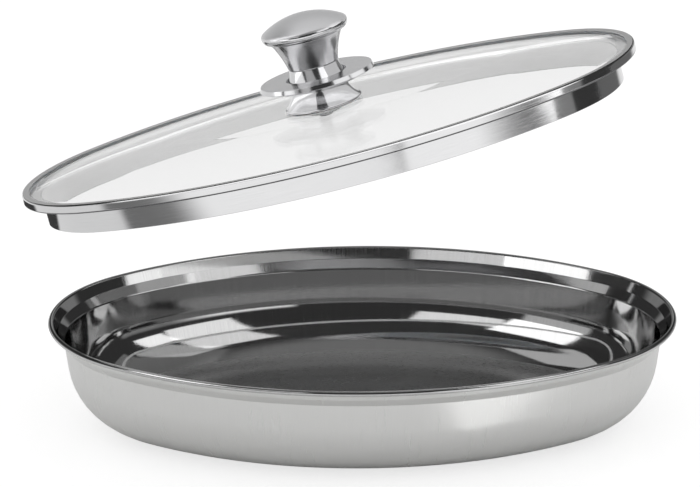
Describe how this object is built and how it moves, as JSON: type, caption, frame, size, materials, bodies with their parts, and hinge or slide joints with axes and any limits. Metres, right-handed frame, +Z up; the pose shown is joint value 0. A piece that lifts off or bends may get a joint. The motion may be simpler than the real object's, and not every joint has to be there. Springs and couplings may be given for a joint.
{
  "type": "oval cooking pot",
  "caption": "Shallow oval steel pan with a rolled lip, and a domed glass lid in a folded steel band with a turned steel knob, held up over the pan.",
  "frame": {"origin": "centre of the underside of the pan's flat base", "axes": "+Z up, +X along the pan's length towards the end where the lifted lid is high, +Y away from the front"},
  "size_m": [0.3945, 0.2688, 0.2553],
  "materials": {
    "pan_steel": "satin outside, mirror-polished inside with a fine grain",
    "band_steel": "polished sheet with a satin fold on top",
    "knob_steel": "polished sides, satin top faces",
    "fastener_steel": "plain bright steel",
    "glass": "clear toughened glass with a ground edge",
    "silicone": "matt translucent silicone"
  },
  "bodies": {
    "pan": {"pan_body": "pan_steel"},
    "lid": {"lid_rim": "band_steel", "rim_seal": "silicone", "lid_glass": "glass", "glass_washer_upper": "silicone", "glass_washer_lower": "silicone", "clamp_washer": "fastener_steel", "knob_screw": "fastener_steel", "knob_insert": "fastener_steel", "knob_foot": "knob_steel", "knob_flange": "knob_steel", "knob_neck": "knob_steel", "knob_body": "knob_steel", "knob_cap": "knob_steel"}
  },
  "joints": [
    {"name": "lid_lift", "type": "hinge", "parent": "pan", "child": "lid", "pos_m": [-0.40188, 0.19341, 0.049], "axis": [-0.4337, -0.9011, 0], "range_deg": [-15.6, 10]}
  ]
}
